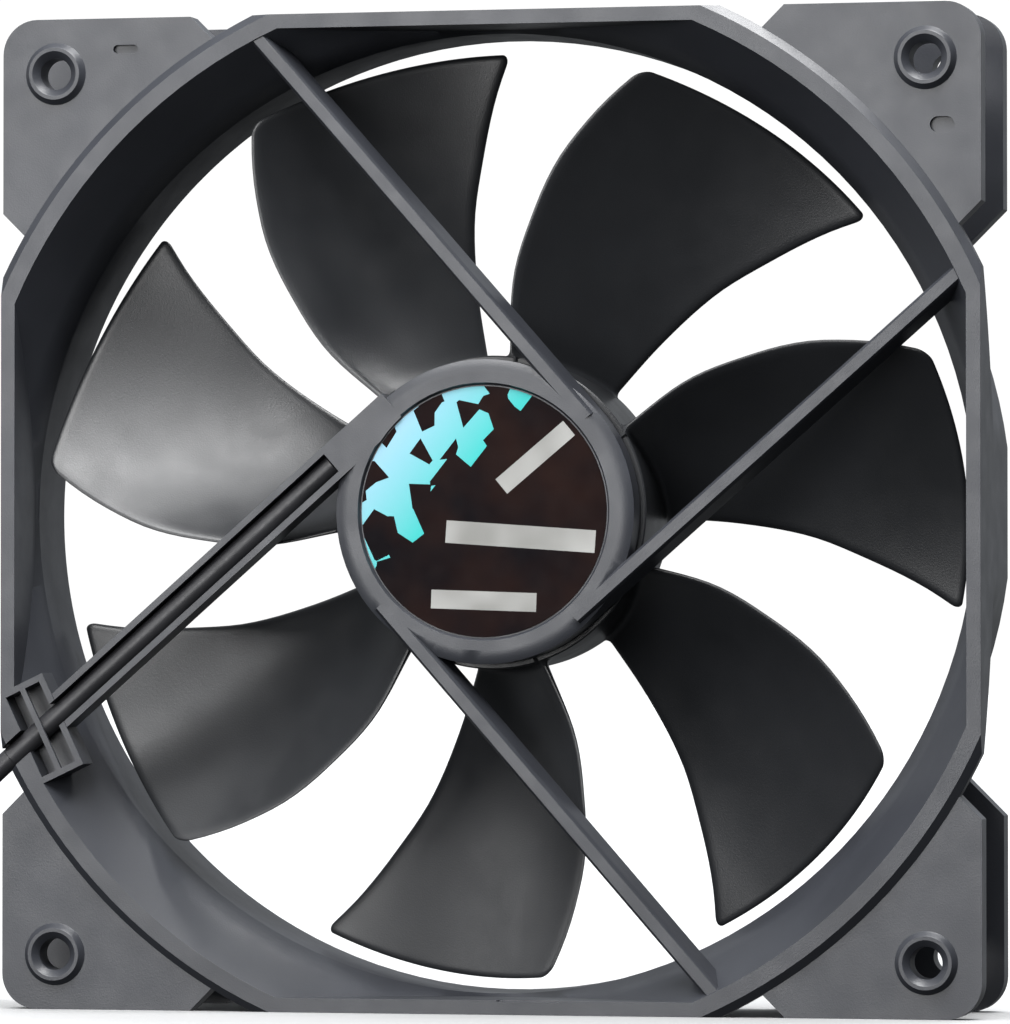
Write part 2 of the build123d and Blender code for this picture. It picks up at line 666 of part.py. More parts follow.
def build_lead():
    leaving, along = exit_point()
    with BuildPart() as held:
        start = strut_plane(CHANNEL_STRUT, LEAD_START)
        start.origin = Vector(start.origin.X, LEAD_Y, start.origin.Z)
        with BuildSketch(start) as section:
            Circle(LEAD_D / 2)
        extrude(section.sketch, amount=along - LEAD_START)
    save(held, "lead_in_strut")
    free = build_tube("lead_free", [leaving] + [Vector(*point) for point in FREE_ROUTE])
    tail = build_tube("lead_tail", [Vector(*point) for point in TAIL_ROUTE])
    turns = COIL_TURNS * pi * (COIL_OUTER + COIL_INNER)
    print(f"lead outside the frame: {free + tail + turns:.0f} mm")
    centre = (COIL_CENTRE[0], COIL_CENTRE[1], COIL_LOW - LEAD_D / 2)
    with BuildPart() as coil:
        with BuildSketch(Plane(origin=centre)) as profile:
            Circle(COIL_OUTER + LEAD_D / 2)
            Circle(COIL_INNER - LEAD_D / 2, mode=Mode.SUBTRACT)
        extrude(profile.sketch, amount=2 * LEAD_D)
        fillet(coil.edges().filter_by(GeomType.CIRCLE), COIL_EDGE)
    save(coil, "lead_coil")
    build_tie()


def build_tie():
    """Strap round the coil's turns."""
    angle = radians(TIE_ANGLE)
    middle_r = (COIL_OUTER + COIL_INNER) / 2
    out = Vector(cos(angle), sin(angle), 0)
    run = Vector(-sin(angle), cos(angle), 0)
    middle = Vector(COIL_CENTRE[0], COIL_CENTRE[1], (COIL_LOW + COIL_HIGH) / 2) + out * middle_r
    tall = 2 * LEAD_D
    wide = tall + TIE_SLACK
    edge = Plane(origin=middle - run * (TIE_WIDTH / 2), x_dir=out, z_dir=run)
    with BuildPart() as tie:
        with BuildSketch(edge) as profile:
            RectangleRounded(wide + 2 * TIE_WALL, tall + 2 * COIL_LIFT, COIL_EDGE)
            Rectangle(wide, tall, mode=Mode.SUBTRACT)
        extrude(profile.sketch, amount=TIE_WIDTH)
    save(tie, "coil_tie")


def tail_plane(x):
    """Plane across the lead's end: local x is Y from the connector's middle, local y is Z."""
    return Plane(origin=(x, TAIL_ROUTE[-1][1], 0), x_dir=(0, 1, 0), z_dir=(1, 0, 0))


def tail_route(lane):
    """One bare wire, from inside the heat-shrink sleeve to its chamber in the connector."""
    end = Vector(*TAIL_ROUTE[-1])
    near = end.Y + lane * TAIL_SPREAD
    far = end.Y + lane * PIN_PITCH
    return [
        Vector(end.X, near, end.Z), Vector(end.X + TAIL_STRAIGHT, near, end.Z),
        Vector(PLUG_BACK - TAIL_STRAIGHT, far, PLUG_Z), Vector(PLUG_BACK + ENTRY_DEPTH, far, PLUG_Z),
    ]


def build_tails():
    """Heat-shrink sleeve and the three wires that come out of it."""
    end = Vector(*TAIL_ROUTE[-1])
    with BuildPart() as shrink:
        with BuildSketch(tail_plane(end.X)) as profile:
            with Locations((0, end.Z)):
                Circle(SHRINK_R)
                Circle(LEAD_D / 2, mode=Mode.SUBTRACT)
        extrude(profile.sketch, amount=-SHRINK_LENGTH)
    save(shrink, "lead_shrink")
    with BuildPart() as tails:
        for lane in (-1, 0, 1):
            with BuildLine(mode=Mode.PRIVATE) as path:
                FilletPolyline(*tail_route(lane), radius=TAIL_BEND)
            with BuildSketch(tail_plane(end.X), mode=Mode.PRIVATE) as section:
                with Locations((lane * TAIL_SPREAD, end.Z)):
                    Circle(WIRE_D / 2)
            sweep(section.sketch, path=path.wire())
    save(tails, "lead_tails")


def build_plug():
    """Three-way connector and its contacts."""
    spots = [(lane * PIN_PITCH, PLUG_Z) for lane in (-1, 0, 1)]
    wide, long, high = PLUG_SIZE
    with BuildPart() as housing:
        with BuildSketch(tail_plane(PLUG_BACK)) as profile:
            with Locations((0, PLUG_Z)):
                RectangleRounded(wide, high, PLUG_EDGE)
        extrude(profile.sketch, amount=long)
        with BuildSketch(tail_plane(PLUG_BACK + long - KEY_SETBACK)) as key:
            with Locations((0, PLUG_Z + (high + KEY_SIZE[2]) / 2)):
                Rectangle(KEY_SIZE[0], KEY_SIZE[2])
        extrude(key.sketch, amount=-KEY_SIZE[1])
        with BuildSketch(tail_plane(PLUG_BACK + long)) as sockets:
            with Locations(*spots):
                Rectangle(SOCKET[0], SOCKET[0])
        extrude(sockets.sketch, amount=-SOCKET[1], mode=Mode.SUBTRACT)
        with BuildSketch(tail_plane(PLUG_BACK)) as entries:
            with Locations(*spots):
                Circle(WIRE_D / 2 + CHANNEL_GAP)
        extrude(entries.sketch, amount=ENTRY_DEPTH, mode=Mode.SUBTRACT)
    save(housing, "connector_housing")
    face = PLUG_BACK + long - TERMINAL_SETBACK
    with BuildPart() as terminals:
        with BuildSketch(tail_plane(face)) as outer:
            with Locations(*spots):
                Rectangle(TERMINAL[0], TERMINAL[0])
        extrude(outer.sketch, amount=-TERMINAL[1])
        with BuildSketch(tail_plane(face)) as inner:
            with Locations(*spots):
                Rectangle(TERMINAL_BORE[0], TERMINAL_BORE[0])
        extrude(inner.sketch, amount=-TERMINAL_BORE[1], mode=Mode.SUBTRACT)
    save(terminals, "connector_terminals")


# ================================================================ rotor
def add_hub():
    inner = YOKE_R
    with BuildSketch(Plane.XY) as profile:
        with BuildLine():
            Polyline((0, SHAFT_TOP), (INSERT_R, SHAFT_TOP), (INSERT_R, BOSS_END), (BOSS_R, BOSS_END),
                     (BOSS_R, HUB_FACE - HUB_TOP), (inner, HUB_FACE - HUB_TOP), (inner, HUB_RIM),
                     (HUB_R, HUB_RIM), (HUB_R, HUB_FACE - HUB_ROUND))
            RadiusArc((HUB_R, HUB_FACE - HUB_ROUND), (HUB_R - HUB_ROUND, HUB_FACE), -HUB_ROUND)
            Polyline((HUB_R - HUB_ROUND, HUB_FACE), (0, HUB_FACE), (0, SHAFT_TOP))
        make_face()
    revolve(profile.sketch, axis=Axis.Y)


def blade_section(station):
    """Cambered section across the span: local x along the rotation, local y to the exhaust."""
    height, lead_x, trail_x, lead_y, trail_y, thick = station
    span = radians(BLADE_AXIS)
    out = Vector(cos(span), 0, sin(span))
    plane = Plane(origin=out * height, x_dir=(-sin(span), 0, cos(span)), z_dir=out)
    lead = Vector(lead_x, -lead_y)
    trail = Vector(trail_x, -trail_y)
    chord = trail - lead
    along = chord.normalized()
    rise = Vector(along.Y, -along.X)
    crown = (lead + trail) / 2 + rise * (CAMBER * chord.length)
    nose = thick * NOSE_SHARE
    tail = thick * TAIL_SHARE
    with BuildSketch(plane, mode=Mode.PRIVATE) as section:
        with BuildLine():
            ThreePointArc(lead + rise * nose, crown + rise * (thick / 2), trail + rise * tail)
            ThreePointArc(trail + rise * tail, trail + along * tail, trail - rise * tail)
            ThreePointArc(trail - rise * tail, crown - rise * (thick / 2), lead - rise * nose)
            ThreePointArc(lead - rise * nose, lead - along * nose, lead + rise * nose)
        make_face()
    return section.sketch.face()


def build_blade():
    with BuildPart() as blade:
        loft([blade_section(station) for station in BLADE_STATIONS])
        with BuildSketch(plane_at(BACK)) as sweep_circle:
            Circle(TIP_R)
        extrude(sweep_circle.sketch, amount=DEPTH, mode=Mode.INTERSECT)
    return blade.part


def build_impeller():
    blade = build_blade()
    with BuildPart() as impeller:
        add_hub()
        for index in range(BLADES):
            add(blade.rotate(Axis.Y, index * 360 / BLADES))
    save(impeller, "impeller")


def build_rotor_metal():
    with BuildPart() as yoke:
        top = HUB_FACE - HUB_TOP
        with BuildSketch(Plane.XY) as profile:
            Polygon((BOSS_R, top - YOKE_WALL), (YOKE_R - YOKE_WALL, top - YOKE_WALL),
                    (YOKE_R - YOKE_WALL, YOKE_RIM), (YOKE_R, YOKE_RIM), (YOKE_R, top), (BOSS_R, top),
                    align=None)
        revolve(profile.sketch, axis=Axis.Y)
    save(yoke, "rotor_yoke")
    magnet_r = YOKE_R - YOKE_WALL
    save(ring(magnet_r - MAGNET_THICK, magnet_r, *MAGNET_SPAN), "magnet_ring")
    save(ring(SHAFT_R, INSERT_R, BOSS_END, SHAFT_TOP), "shaft_insert")
    save(ring(SHAFT_R, WASHER_R, TUBE_TOP + WASHER_GAPS[0], BOSS_END - WASHER_GAPS[1]), "wear_washer")
    tip_y = SHAFT_TIP + TIP_FLAT[1]
    with BuildPart() as shaft:
        with BuildSketch(Plane.XY) as profile:
            with BuildLine():
                RadiusArc((0, SHAFT_TIP), (TIP_FLAT[0], tip_y), -TIP_ROUND)
                Polyline((TIP_FLAT[0], tip_y), (SHAFT_R, GROOVE[0] - PAD_GAP), (SHAFT_R, GROOVE[0]),
                         (GROOVE_R, GROOVE[0]), (GROOVE_R, GROOVE[1]), (SHAFT_R, GROOVE[1]),
                         (SHAFT_R, SHAFT_TOP), (0, SHAFT_TOP), (0, SHAFT_TIP))
            make_face()
        revolve(profile.sketch, axis=Axis.Y)
    save(shaft, "shaft")
    with BuildPart() as washer:
        with BuildSketch(plane_at(GROOVE[1] - CLIP_GAP)) as profile:
            Circle(CLIP_R)
            Circle(GROOVE_R, mode=Mode.SUBTRACT)
            with Locations((CLIP_R, 0)):
                Rectangle(2 * CLIP_R, CLIP_SLOT, mode=Mode.SUBTRACT)
        extrude(profile.sketch, amount=GROOVE[1] - GROOVE[0] - 2 * CLIP_GAP)
    save(washer, "split_washer")


def main():
    os.makedirs("parts", exist_ok=True)
    build_frame()
    save(ring(0, LABEL_R, LABEL_SEAT - LABEL_THICK, LABEL_SEAT), "base_label")
    build_bearing()
    build_core()
    build_insulator("insulator_exhaust", CORE_SPAN[0], -1)
    build_insulator("insulator_intake", CORE_SPAN[1], 1)
    build_windings()
    build_board()
    build_inner_wires()
    build_lead()
    build_tails()
    build_plug()
    build_impeller()
    build_rotor_metal()


main()
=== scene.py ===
import math

import bmesh
import bpy
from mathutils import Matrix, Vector


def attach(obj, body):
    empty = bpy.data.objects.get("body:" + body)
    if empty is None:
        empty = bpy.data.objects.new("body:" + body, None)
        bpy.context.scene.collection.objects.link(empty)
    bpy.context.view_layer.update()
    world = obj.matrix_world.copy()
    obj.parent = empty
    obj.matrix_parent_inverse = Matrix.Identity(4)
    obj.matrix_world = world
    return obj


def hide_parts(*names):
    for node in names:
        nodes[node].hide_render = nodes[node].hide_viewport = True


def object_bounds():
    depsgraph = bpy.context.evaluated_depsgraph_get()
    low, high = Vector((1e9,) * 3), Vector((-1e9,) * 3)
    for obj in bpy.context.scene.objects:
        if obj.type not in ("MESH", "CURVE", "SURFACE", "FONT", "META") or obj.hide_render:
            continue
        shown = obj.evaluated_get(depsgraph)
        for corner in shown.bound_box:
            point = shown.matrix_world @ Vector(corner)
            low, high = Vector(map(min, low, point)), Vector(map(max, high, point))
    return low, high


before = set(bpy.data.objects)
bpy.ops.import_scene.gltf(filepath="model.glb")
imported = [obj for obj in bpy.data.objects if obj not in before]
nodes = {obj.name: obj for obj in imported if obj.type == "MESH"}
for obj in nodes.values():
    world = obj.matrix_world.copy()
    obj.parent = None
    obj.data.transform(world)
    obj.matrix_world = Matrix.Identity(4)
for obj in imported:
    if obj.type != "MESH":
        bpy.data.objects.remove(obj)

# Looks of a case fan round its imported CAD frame. Lengths are in metres unless a comment says
# millimetres, in the row frame: Z is up, the rotor turns about Y, and the exhaust side with the
# struts faces -Y.

MM = 0.001
cad_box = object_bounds()

# ---------------------------------------------------------------- driving values
CAMERA_AZIMUTH = 12.8          # degrees round from straight in front, to the right
CAMERA_ELEVATION = -1.11
CAMERA_DISTANCE = 0.9583
CAMERA_LENS = 238.8
CAMERA_AIM = (0.355 * MM, 0.169 * MM)   # right and up from the rotor's centre

FLOOR_RADIUS = 6.0
FLOOR_SIDES = 96
FLOOR_GAP = 0.02 * MM          # under the lowest point
FLOOR_SUN = 3.4
FLOOR_SUN_ANGLE = 60.0         # apparent width of the floor's sun, degrees
WORLD_SEEN = 1.05              # strength of the surround to the camera
WORLD_TINT = (0.92, 0.96, 1.0)
WORLD_FILL = 0.07              # its strength as light on the object
WORLD_BACK = 0.30              # added from behind
WORLD_TOP = 0.45               # added from above
SOFTBOXES = [                  # name, place, aim, width and height, power in watts
    ("overhead_softbox", (0.20, -0.04, 0.60), (0, 0, 0), (0.62, 0.26), 11.0),
    ("top_front_softbox", (-0.10, -0.42, 0.54), (0, 0, 0), (0.42, 0.34), 6.5),
    ("left_softbox", (-0.75, -0.35, 0.18), (0, 0, 0), (0.4, 0.4), 1.6),
    ("front_softbox", (-0.22, -0.95, 0.10), (0, 0, 0), (0.55, 0.5), 6.5),
]

LEAD_D = 3.0 * MM
COIL_CENTRE = (-100.0 * MM, -2.0 * MM)
COIL_OUTER = 16.5 * MM         # radius of the lead's centre line in the outer rings
COIL_INNER = 13.5 * MM
COIL_LOW = -68.0 * MM          # height of the centre line in the lower rings
COIL_HIGH = -65.0 * MM
COIL_TURNS = 3.85
COIL_START = -90.0             # place of the first turn's start round the coil, degrees
LAYER_CHANGE = 0.3             # share of a turn taken to pass from one ring to the next
POINTS_PER_TURN = 16
EXIT_REACH = 1.95 * MM         # depth of the lead's end that marks its outer face
EXIT_BELOW = -30.0 * MM        # and the height that it lies under
FREE_ROUTE = [                 # chosen in millimetres, as in the CAD; so is the tail
    (-77.0, -10.3, -41.54), (-79.8, -12.1, -47.7), (-81.8, -14.3, -55.1), (-84.3, -17.0, -61.65),
    (-88.5, -19.1, -66.0), (-94.2, -19.4, -68.0),
]
TAIL_ROUTE = [
    (-92.35, -16.4, -64.4), (-99.46, -17.6, -62.8), (-105.7, -16.2, -62.0), (-110.8, -13.0, -62.0),
    (-114.2, -8.1, -62.0), (-114.4, -1.5, -62.0), (-111.1, 3.8, -62.0), (-105.7, 6.8, -62.0),
    (-99.5, 6.8, -62.0),
]

FRAME_COLOUR = (0.026, 0.028, 0.034)
IMPELLER_COLOUR = (0.014, 0.015, 0.017)
LABEL_R = 17.5 * MM
LABEL_BARS = [                 # middle across and up, length, height, all in radii; slant, degrees
    (0.42, 0.43, 0.72, 0.15, 40.0), (0.30, -0.20, 1.22, 0.18, -4.0), (0.0, -0.71, 0.86, 0.15, -2.0),
]
FACET_SIZE = 3.4 * MM
FACET_LEAN = (0.62, 0.78)      # up and left, the side of the label where the pale facets lie
FACET_START = 0.56             # how far that way they begin
FACET_RAGGED = 0.34            # and how unevenly
FACET_GAPS = 0.40              # share of them left dark

# The impeller is built in millimetres, as in the CAD
BLADES = 7
BLADE_AXIS = 115.0             # direction of the first blade's span, degrees
TIP_R = 65.5
HUB_R = 22.0
ROOT_R = 21.2                  # the blades start inside the hub's wall
BLADE_STATIONS = [             # height up the span, both edges across it, their depths, thickness
    (20.7, -4.2, 7.3, 9.6, -5.4, 2.4),
    (31.0, -7.3, 11.8, 9.8, -5.6, 2.1),
    (40.7, -11.4, 13.3, 9.6, -5.6, 1.9),
    (48.2, -16.4, 13.4, 9.3, -5.5, 1.8),
    (55.0, -21.8, 12.1, 8.8, -5.3, 1.6),
    (60.5, -27.4, 10.3, 8.3, -5.1, 1.5),
    (66.5, -34.0, 7.6, 7.6, -4.8, 1.4),
]
CAMBER = 0.085                 # rise of the middle, as a share of the blade's width
NOSE_SHARE = 0.36              # half thickness at the leading edge, as a share of the thickness
TAIL_SHARE = 0.26              # and at the trailing edge
NOSE_ROUND = 1.5               # length of the rounded leading and trailing edges
TIP_ROUND = 1.1                # and of the rounded tip
TIP_CORNER = 1.6               # radius of the tip's two corners, seen from the front
ROOT_FILLET = 1.0
FILLET_STEPS = (0.12, 0.3, 0.6)    # distances from the hub of the rings across the root's fillet
BLADE_RINGS = 22               # rings of points between the fillet and the tip's corner
CORNER_SHARES = (0.25, 0.45, 0.6, 0.72, 0.82, 0.9, 0.96, 0.99, 1.0)    # rings across the corner
CHORD_STEPS = 34
EDGE_CROWDING = 0.9            # 0 is even spacing across the blade, 1 is as close as a cosine's
SPAN_SEARCH = (15.0, 68.0)     # heights between which a blade's point is looked for
HALVINGS = 26
HUB_STEPS = 160
SHARP_ANGLE = 42.0             # an impeller's edge shades sharp over this, degrees
HUB_PROFILE = [                # radius, depth, from the shaft's hole round to the outer face
    (2.8, 10.6), (2.8, 5.3), (4.2, 5.3), (4.2, 10.2), (20.4, 10.2), (20.4, -6.25), (20.55, -6.4),
    (21.8, -6.4), (22.0, -6.2), (22.0, 9.9), (21.9, 10.5), (21.5, 11.05), (21.0, 11.4), (20.4, 11.5),
    (4.0, 11.5), (1.0, 11.5),
]

WELD_GAP = 0.002 * MM
FLAT_ANGLE = 0.05              # CAD facets closer to flat than this are joined, degrees
EDGE_ANGLE = 32.0              # an edge over this is rounded, degrees
EDGE_SEGMENTS = 2
FRAME_EDGE_SEGMENTS = 3
GRAIN_DEPTH = 0.018 * MM       # of moulded plastic
MARK_DEPTH = 0.006 * MM        # of the tool marks in metal
WAVE_PERIOD = 0.314            # length of one band of a wave texture at scale 1


# ================================================================ small helpers
def link(obj):
    bpy.context.scene.collection.objects.link(obj)
    return obj


def in_metres(points):
    return [tuple(c * MM for c in point) for point in points]


def point_at(obj, place, target):
    """Put a camera or a lamp in its place and turn it to the target."""
    obj.location = place
    obj.rotation_mode = "QUATERNION"
    obj.rotation_quaternion = (Vector(target) - obj.location).to_track_quat("-Z", "Y")


def smoothstep(t):
    t = min(1.0, max(0.0, t))
    return t * t * (3 - 2 * t)


def math_node(tree, operation, *values):
    """Math node; each value is a number or another node's output."""
    made = tree.nodes.new("ShaderNodeMath")
    made.operation = operation
    for socket, value in zip(made.inputs, values):
        if isinstance(value, (int, float)):
            socket.default_value = value
        else:
            tree.links.new(value, socket)
    return made.outputs[0]


# ================================================================ camera and lights
def make_camera():
    """Camera at the photograph's viewing angle."""
    turn = math.radians(CAMERA_AZIMUTH)
    rise = math.radians(CAMERA_ELEVATION)
    back = Vector((math.sin(turn) * math.cos(rise), -math.cos(turn) * math.cos(rise), math.sin(rise)))
    right = Vector((math.cos(turn), math.sin(turn), 0))
    aim = right * CAMERA_AIM[0] + Vector((0, 0, CAMERA_AIM[1]))
    data = bpy.data.cameras.new("photo_camera")
    data.lens = CAMERA_LENS
    data.sensor_width = 36.0
    data.clip_start = 0.01
    data.clip_end = 50.0
    camera = link(bpy.data.objects.new("photo_camera", data))
    point_at(camera, back * CAMERA_DISTANCE, aim)
    bpy.context.scene.camera = camera


def softbox(name, place, target, size, power):
    data = bpy.data.lights.new(name, "AREA")
    data.shape = "RECTANGLE"
    data.size = size[0]
    data.size_y = size[1]
    data.energy = power
    lamp = link(bpy.data.objects.new(name, data))
    point_at(lamp, place, target)
    return lamp


def light_only(lamp, piece, lit):
    """Let a lamp light nothing but one piece, or everything but it."""
    group = bpy.data.collections.new(f"{lamp.name}_receivers")
    group.objects.link(piece)
    lamp.light_linking.receiver_collection = group
    group.collection_objects[0].light_linking.link_state = "INCLUDE" if lit else "EXCLUDE"


def make_world():
    """White surround; as light on the object it is dim in front and below, brighter above."""
    world = bpy.data.worlds.new("studio")
    bpy.context.scene.world = world
    world.use_nodes = True
    tree = world.node_tree
    tree.nodes.clear()

    def ramp(value, low, high, top):
        """From 0 at the low value to the top at the high one."""
        made = tree.nodes.new("ShaderNodeMapRange")
        made.interpolation_type = "SMOOTHSTEP"
        made.inputs["From Min"].default_value = low
        made.inputs["From Max"].default_value = high
        made.inputs["To Max"].default_value = top
        tree.links.new(value, made.inputs["Value"])
        return made.outputs["Result"]

    coords = tree.nodes.new("ShaderNodeTexCoord")
    split = tree.nodes.new("ShaderNodeSeparateXYZ")
    tree.links.new(coords.outputs["Generated"], split.inputs[0])
    behind = math_node(tree, "MULTIPLY", ramp(split.outputs["Y"], 0.1, 0.8, WORLD_BACK),
                       ramp(split.outputs["Z"], -0.5, 0.1, 1.0))
    above = ramp(split.outputs["Z"], 0.2, 0.9, WORLD_TOP)
    level = math_node(tree, "ADD", math_node(tree, "ADD", behind, above), WORLD_FILL)
    rays = tree.nodes.new("ShaderNodeLightPath")
    seen = tree.nodes.new("ShaderNodeBackground")
    seen.inputs["Color"].default_value = (1, 1, 1, 1)
    seen.inputs["Strength"].default_value = WORLD_SEEN
    fill = tree.nodes.new("ShaderNodeBackground")
    fill.inputs["Color"].default_value = (*WORLD_TINT, 1)
    tree.links.new(level, fill.inputs["Strength"])
    mix = tree.nodes.new("ShaderNodeMixShader")
    out = tree.nodes.new("ShaderNodeOutputWorld")
    tree.links.new(rays.outputs["Is Camera Ray"], mix.inputs[0])
    tree.links.new(fill.outputs[0], mix.inputs[1])
    tree.links.new(seen.outputs[0], mix.inputs[2])
    tree.links.new(mix.outputs[0], out.inputs["Surface"])


def make_stage():
    """Pale round floor, left out of the light that reaches the object."""
    floor_z = cad_box[0].z - FLOOR_GAP
    angles = [2 * math.pi * k / FLOOR_SIDES for k in range(FLOOR_SIDES)]
    ring = [(FLOOR_RADIUS * math.cos(a), FLOOR_RADIUS * math.sin(a), floor_z) for a in angles]
    mesh = bpy.data.meshes.new("studio_floor")
    mesh.from_pydata(ring, [], [tuple(range(FLOOR_SIDES))])
    floor = link(bpy.data.objects.new("studio_floor", mesh))
    material = bpy.data.materials.new("studio_floor")
    material.use_nodes = True
    shader = material.node_tree.nodes["Principled BSDF"]
    shader.inputs["Base Color"].default_value = (0.9, 0.9, 0.9, 1)
    shader.inputs["Roughness"].default_value = 0.9
    floor.data.materials.append(material)
    floor.visible_diffuse = False
    floor.visible_glossy = False
    return floor


def make_lights(floor):
    """Softboxes for the object, and a wide soft sun for the floor alone."""
    for name, place, target, size, power in SOFTBOXES:
        light_only(softbox(name, place, target, size, power), floor, False)
    data = bpy.data.lights.new("floor_wash", "SUN")
    data.energy = FLOOR_SUN
    data.angle = math.radians(FLOOR_SUN_ANGLE)
    light_only(link(bpy.data.objects.new("floor_wash", data)), floor, True)


# ================================================================ materials
class Paint:
    """A node material under construction: a Principled shader fed by object coordinates."""

    def __init__(self, name, colour, rough, metal=0.0, **sockets):
        self.material = bpy.data.materials.new(name)
        self.material.use_nodes = True
        self.material.diffuse_color = (*colour, 1)
        self.tree = self.material.node_tree
        self.shader = self.tree.nodes["Principled BSDF"]
        self.shader.inputs["Base Color"].default_value = (*colour, 1)
        self.shader.inputs["Roughness"].default_value = rough
        self.shader.inputs["Metallic"].default_value = metal
        for key, value in sockets.items():
            self.shader.inputs[key.replace("_", " ")].default_value = value
        self.coords = self.node("ShaderNodeTexCoord").outputs["Object"]

    def node(self, kind, **settings):
        made = self.tree.nodes.new(kind)
        for key, value in settings.items():
            setattr(made, key, value)
        return made

    def join(self, out, into):
        self.tree.links.new(out, into)

    def noise(self, size, detail=2.0, stretch=(1, 1, 1)):
        """Noise with features about this size in metres, stretched along the axes."""
        mapping = self.node("ShaderNodeMapping")
        self.join(self.coords, mapping.inputs["Vector"])
        mapping.inputs["Scale"].default_value = [s / size for s in stretch]
        made = self.node("ShaderNodeTexNoise")
        made.inputs["Scale"].default_value = 1.0
        made.inputs["Detail"].default_value = detail
        self.join(mapping.outputs["Vector"], made.inputs["Vector"])
        return made.outputs["Fac"]

    def remap(self, value, low, high, from_low=0.3, from_high=0.7):
        """A value stretched from one range, by default that of most noise, to another."""
        made = self.node("ShaderNodeMapRange")
        made.inputs["From Min"].default_value = from_low
        made.inputs["From Max"].default_value = from_high
        made.inputs["To Min"].default_value = low
        made.inputs["To Max"].default_value = high
        self.join(value, made.inputs["Value"])
        return made.outputs["Result"]

    def combine(self, operation, *values):
        return math_node(self.tree, operation, *values)

    def blend(self, share, first, second):
        """Colour between two, each a colour or a socket."""
        made = self.node("ShaderNodeMix", data_type="RGBA")
        self.join(share, made.inputs["Factor"])
        for socket, value in ((made.inputs["A"], first), (made.inputs["B"], second)):
            if isinstance(value, tuple):
                socket.default_value = (*value, 1)
            else:
                self.join(value, socket)
        return made.outputs["Result"]

    def colour(self, out):
        self.join(out, self.shader.inputs["Base Color"])

    def rough(self, out):
        self.join(out, self.shader.inputs["Roughness"])

    def bump(self, height, depth):
        made = self.node("ShaderNodeBump")
        made.inputs["Strength"].default_value = 1.0
        made.inputs["Distance"].default_value = depth
        self.join(height, made.inputs["Height"])
        self.join(made.outputs["Normal"], self.shader.inputs["Normal"])


def scaled(colour, factor):
    return tuple(min(1.0, c * factor) for c in colour)


def plastic(name, colour, rough, grain=0.22 * MM):
    """Moulded plastic: spark-eroded grain, faint flow marks and uneven polish."""
    paint = Paint(name, colour, rough, IOR=1.5)
    flow = paint.noise(14 * MM, 3)
    paint.colour(paint.blend(paint.remap(flow, 0, 1), scaled(colour, 0.9), scaled(colour, 1.12)))
    paint.rough(paint.remap(paint.noise(5 * MM, 4), rough - 0.04, rough + 0.05))
    paint.bump(paint.noise(grain, 2), GRAIN_DEPTH)
    return paint.material


def metal(name, colour, rough, stretch=(1, 1, 1), size=0.4 * MM):
    """Bare metal with a lay of fine tool marks, stretched along the axes."""
    paint = Paint(name, colour, rough, metal=1.0)
    marks = paint.noise(size, 3, stretch)
    paint.colour(paint.blend(paint.remap(marks, 0, 1), scaled(colour, 0.88), scaled(colour, 1.08)))
    paint.rough(paint.remap(marks, rough - 0.06, rough + 0.08))
    paint.bump(marks, MARK_DEPTH)
    return paint.material


# ================================================================ cord
def coil_points():
    """Control points of the tied coil: out, in, then raised and in, and out again."""
    def passed(turns, turn):
        """0 before this many turns, 1 after them, and smooth between."""
        return smoothstep((turn - turns) / LAYER_CHANGE + 0.5)

    total = int(COIL_TURNS * POINTS_PER_TURN)
    pull = math.cos(math.pi / POINTS_PER_TURN)     # the curve runs this much inside its points
    points = []
    for index in range(1, total):
        turn = index / POINTS_PER_TURN
        inward = passed(1, turn) - passed(3, turn)
        raised = passed(2, turn)
        radius = (COIL_OUTER + (COIL_INNER - COIL_OUTER) * inward) / pull
        angle = math.radians(COIL_START) - 2 * math.pi * turn
        points.append((COIL_CENTRE[0] + radius * math.cos(angle),
                       COIL_CENTRE[1] + radius * math.sin(angle),
                       COIL_LOW + (COIL_HIGH - COIL_LOW) * raised))
    return points


def lead_exit():
    """Middle of the lead's outer end face where it leaves the frame's side."""
    inner = nodes["lead_in_strut"].data.vertices
    leftmost = min(v.co.x for v in inner)
    end = [v.co for v in inner if v.co.x < leftmost + EXIT_REACH and v.co.z < EXIT_BELOW]
    low = Vector([min(co[i] for co in end) for i in range(3)])
    high = Vector([max(co[i] for co in end) for i in range(3)])
    return (low + high) / 2


def build_cord():
    """The whole lead outside the frame, as one curve: free stretch, coil and tail."""
    start = lead_exit()
    points = [tuple(start)] + in_metres(FREE_ROUTE) + coil_points() + in_metres(TAIL_ROUTE)
    curve = bpy.data.curves.new("lead_cord", "CURVE")
    curve.dimensions = "3D"
    curve.bevel_depth = 1.0        # times each point's radius, which is the lead's
    curve.bevel_resolution = 6
    curve.resolution_u = 12
    curve.use_fill_caps = True
    spline = curve.splines.new("NURBS")
    spline.points.add(len(points) - 1)
    for spot, point in zip(spline.points, points):
        spot.co = (*point, 1)
        spot.radius = LEAD_D / 2
    spline.order_u = 3
    spline.use_endpoint_u = True
    cord = link(bpy.data.objects.new("lead_cord", curve))
    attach(cord, "stator")
    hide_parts("lead_free", "lead_coil", "lead_tail")
    return cord


